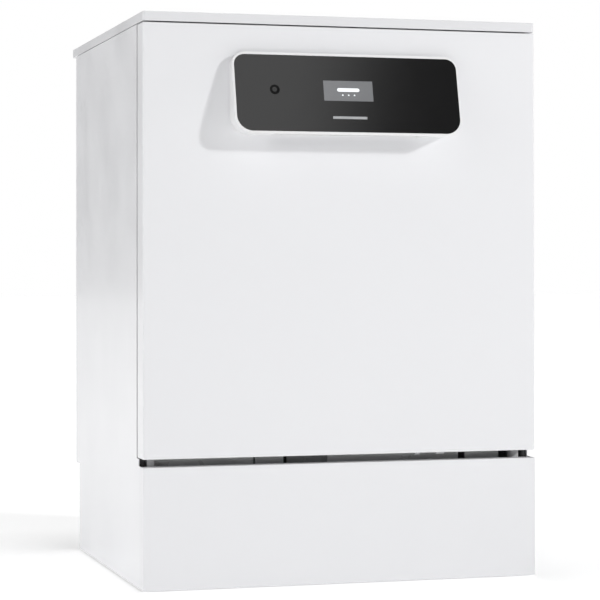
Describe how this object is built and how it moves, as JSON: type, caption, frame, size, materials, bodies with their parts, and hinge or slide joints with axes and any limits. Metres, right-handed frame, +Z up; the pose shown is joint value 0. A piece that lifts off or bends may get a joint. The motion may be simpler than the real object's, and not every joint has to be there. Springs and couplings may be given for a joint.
{
  "type": "undercounter glass washer",
  "caption": "Free-standing undercounter glass washer with a drop-down door, sloping control panel, two sliding wire baskets and spray arms.",
  "frame": {"origin": "on the floor under the middle of the bounding box", "axes": "+X to the right seen from the front, -Y out of the door, +Z up"},
  "size_m": [0.6, 0.641, 0.835],
  "materials": {
    "white_steel": "white stoving enamel, slight orange peel",
    "white_plastic": "white moulded plastic, fine texture",
    "zinc_steel": "bright zinc-plated sheet",
    "stainless": "brushed stainless steel",
    "stainless_wire": "electropolished wire",
    "black_glass": "black-backed glass, glossy",
    "lcd": "grey display",
    "light_lens": "frosted lens",
    "button_black": "black button",
    "black_plastic": "black moulded plastic",
    "grey_plastic": "grey moulded plastic",
    "light_plastic": "pale grey moulded plastic",
    "blue_plastic": "blue moulded plastic",
    "rubber_seal": "black rubber",
    "bitumen_mat": "pressed sound mat",
    "circuit_board": "green circuit board",
    "brass_fitting": "turned brass",
    "screw_steel": "plated steel"
  },
  "bodies": {
    "root": {"lid": "white_steel", "side_panel_left": "white_steel", "side_panel_right": "white_steel", "rear_panel": "zinc_steel", "rear_panel_screws": "screw_steel", "base_tray": "black_plastic", "chassis_frame": "zinc_steel", "front_crossmember": "zinc_steel", "corner_blocks": "black_plastic", "plinth_panel": "white_steel", "hinge_brackets": "zinc_steel", "door_lock_housing": "black_plastic", "tub_frame": "stainless", "tub_gasket": "rubber_seal", "tub_wrapper": "stainless", "tub_back": "stainless", "tub_floor": "stainless", "sump": "grey_plastic", "lower_arm_hub": "grey_plastic", "feed_pipe": "light_plastic", "rails_fixed": "stainless", "circulation_pump": "black_plastic", "drain_pump": "grey_plastic", "softener_tank": "light_plastic", "inlet_valve": "light_plastic", "drain_spigot": "grey_plastic", "cable_gland": "black_plastic", "electronics_box": "light_plastic"},
    "door": {"door_outer_panel": "white_steel", "door_inner_liner": "stainless", "liner_screws": "screw_steel", "door_insulation": "bitumen_mat", "hinge_arms": "zinc_steel", "hinge_pins": "screw_steel", "control_housing": "white_plastic", "control_glass": "black_glass", "display_screen": "lcd", "status_light": "light_lens", "control_board": "circuit_board", "dispenser_body": "light_plastic"},
    "power_button": {"power_button": "button_black"},
    "detergent_flap": {"detergent_flap": "light_plastic"},
    "rinse_aid_cap": {"rinse_aid_cap": "blue_plastic"},
    "door_lock_bolt": {"door_lock_bolt": "screw_steel"},
    "filter_cartridge": {"filter_cartridge": "grey_plastic"},
    "salt_cap": {"salt_cap": "light_plastic"},
    "lower_spray_arm": {"lower_spray_arm": "stainless"},
    "upper_spray_arm": {"upper_spray_arm": "stainless"},
    "top_spray_arm": {"top_spray_arm": "stainless"},
    "upper_basket": {"upper_basket": "stainless_wire", "rails_inner": "stainless", "upper_arm_feed": "light_plastic"},
    "rails_middle": {"rails_middle": "stainless"},
    "lower_basket": {"lower_basket": "stainless_wire"},
    "wheels_front": {"wheels_front": "light_plastic"},
    "wheels_rear": {"wheels_rear": "light_plastic"},
    "foot_front_left": {"foot_front_left": "black_plastic"},
    "foot_front_right": {"foot_front_right": "black_plastic"},
    "foot_rear_left": {"foot_rear_left": "black_plastic"},
    "foot_rear_right": {"foot_rear_right": "black_plastic"}
  },
  "joints": [
    {"name": "door_hinge", "type": "hinge", "parent": "root", "child": "door", "pos_m": [0, -0.26454, 0.2], "axis": [1, 0, 0], "range_deg": [0, 90]},
    {"name": "power_button_press", "type": "slide", "parent": "door", "child": "power_button", "axis": [0, 0.9703, -0.2419], "range_m": [0, 0.0015], "stiffness_N_per_m": 600, "springref_m": -0.0005},
    {"name": "detergent_flap_slide", "type": "slide", "parent": "door", "child": "detergent_flap", "axis": [1, 0, 0], "range_m": [0, 0.07]},
    {"name": "rinse_aid_cap_twist", "type": "hinge", "parent": "door", "child": "rinse_aid_cap", "pos_m": [0.078, -0.23554, 0.45], "axis": [0, 1, 0], "range_deg": [0, 90]},
    {"name": "door_lock_bolt_slide", "type": "slide", "parent": "root", "child": "door_lock_bolt", "axis": [0, -1, 0], "range_m": [0, 0.008]},
    {"name": "filter_twist", "type": "hinge", "parent": "root", "child": "filter_cartridge", "pos_m": [0, -0.08954, 0.212], "axis": [0, 0, 1], "range_deg": [0, 90]},
    {"name": "salt_cap_twist", "type": "hinge", "parent": "root", "child": "salt_cap", "pos_m": [-0.15, 0.15046, 0.212], "axis": [0, 0, 1], "range_deg": [0, 90]},
    {"name": "lower_spray_arm_spin", "type": "hinge", "parent": "root", "child": "lower_spray_arm", "pos_m": [0, 0.02046, 0.244], "axis": [0, 0, 1], "continuous": true},
    {"name": "upper_spray_arm_spin", "type": "hinge", "parent": "upper_basket", "child": "upper_spray_arm", "pos_m": [0, 0.02046, 0.474], "axis": [0, 0, 1], "continuous": true},
    {"name": "top_spray_arm_spin", "type": "hinge", "parent": "root", "child": "top_spray_arm", "pos_m": [0, 0.02046, 0.768], "axis": [0, 0, 1], "continuous": true},
    {"name": "upper_basket_slide", "type": "slide", "parent": "root", "child": "upper_basket", "axis": [0, -1, 0], "range_m": [0, 0.4]},
    {"name": "rails_middle_slide", "type": "slide", "parent": "root", "child": "rails_middle", "axis": [0, -1, 0], "range_m": [0, 0.2]},
    {"name": "lower_basket_slide", "type": "slide", "parent": "root", "child": "lower_basket", "axis": [0, -1, 0], "range_m": [0, 0.158]},
    {"name": "wheels_front_roll", "type": "hinge", "parent": "lower_basket", "child": "wheels_front", "pos_m": [0, -0.10954, 0.246], "axis": [1, 0, 0], "range_deg": [0, 565]},
    {"name": "wheels_rear_roll", "type": "hinge", "parent": "lower_basket", "child": "wheels_rear", "pos_m": [0, 0.16046, 0.246], "axis": [1, 0, 0], "range_deg": [0, 565]},
    {"name": "foot_front_left_level", "type": "slide", "parent": "root", "child": "foot_front_left", "axis": [0, 0, -1], "range_m": [0, 0.025]},
    {"name": "foot_rear_left_level", "type": "slide", "parent": "root", "child": "foot_rear_left", "axis": [0, 0, -1], "range_m": [0, 0.025]},
    {"name": "foot_front_right_level", "type": "slide", "parent": "root", "child": "foot_front_right", "axis": [0, 0, -1], "range_m": [0, 0.025]},
    {"name": "foot_rear_right_level", "type": "slide", "parent": "root", "child": "foot_rear_right", "axis": [0, 0, -1], "range_m": [0, 0.025]}
  ],
  "couplings": [
    {"joint": "upper_basket_slide", "follows": "door_hinge", "m_per_rad": 0.2546},
    {"joint": "rails_middle_slide", "follows": "door_hinge", "m_per_rad": 0.1273},
    {"joint": "lower_basket_slide", "follows": "door_hinge", "m_per_rad": 0.1},
    {"joint": "wheels_front_roll", "follows": "door_hinge", "ratio": 6.25},
    {"joint": "wheels_rear_roll", "follows": "door_hinge", "ratio": 6.25}
  ]
}
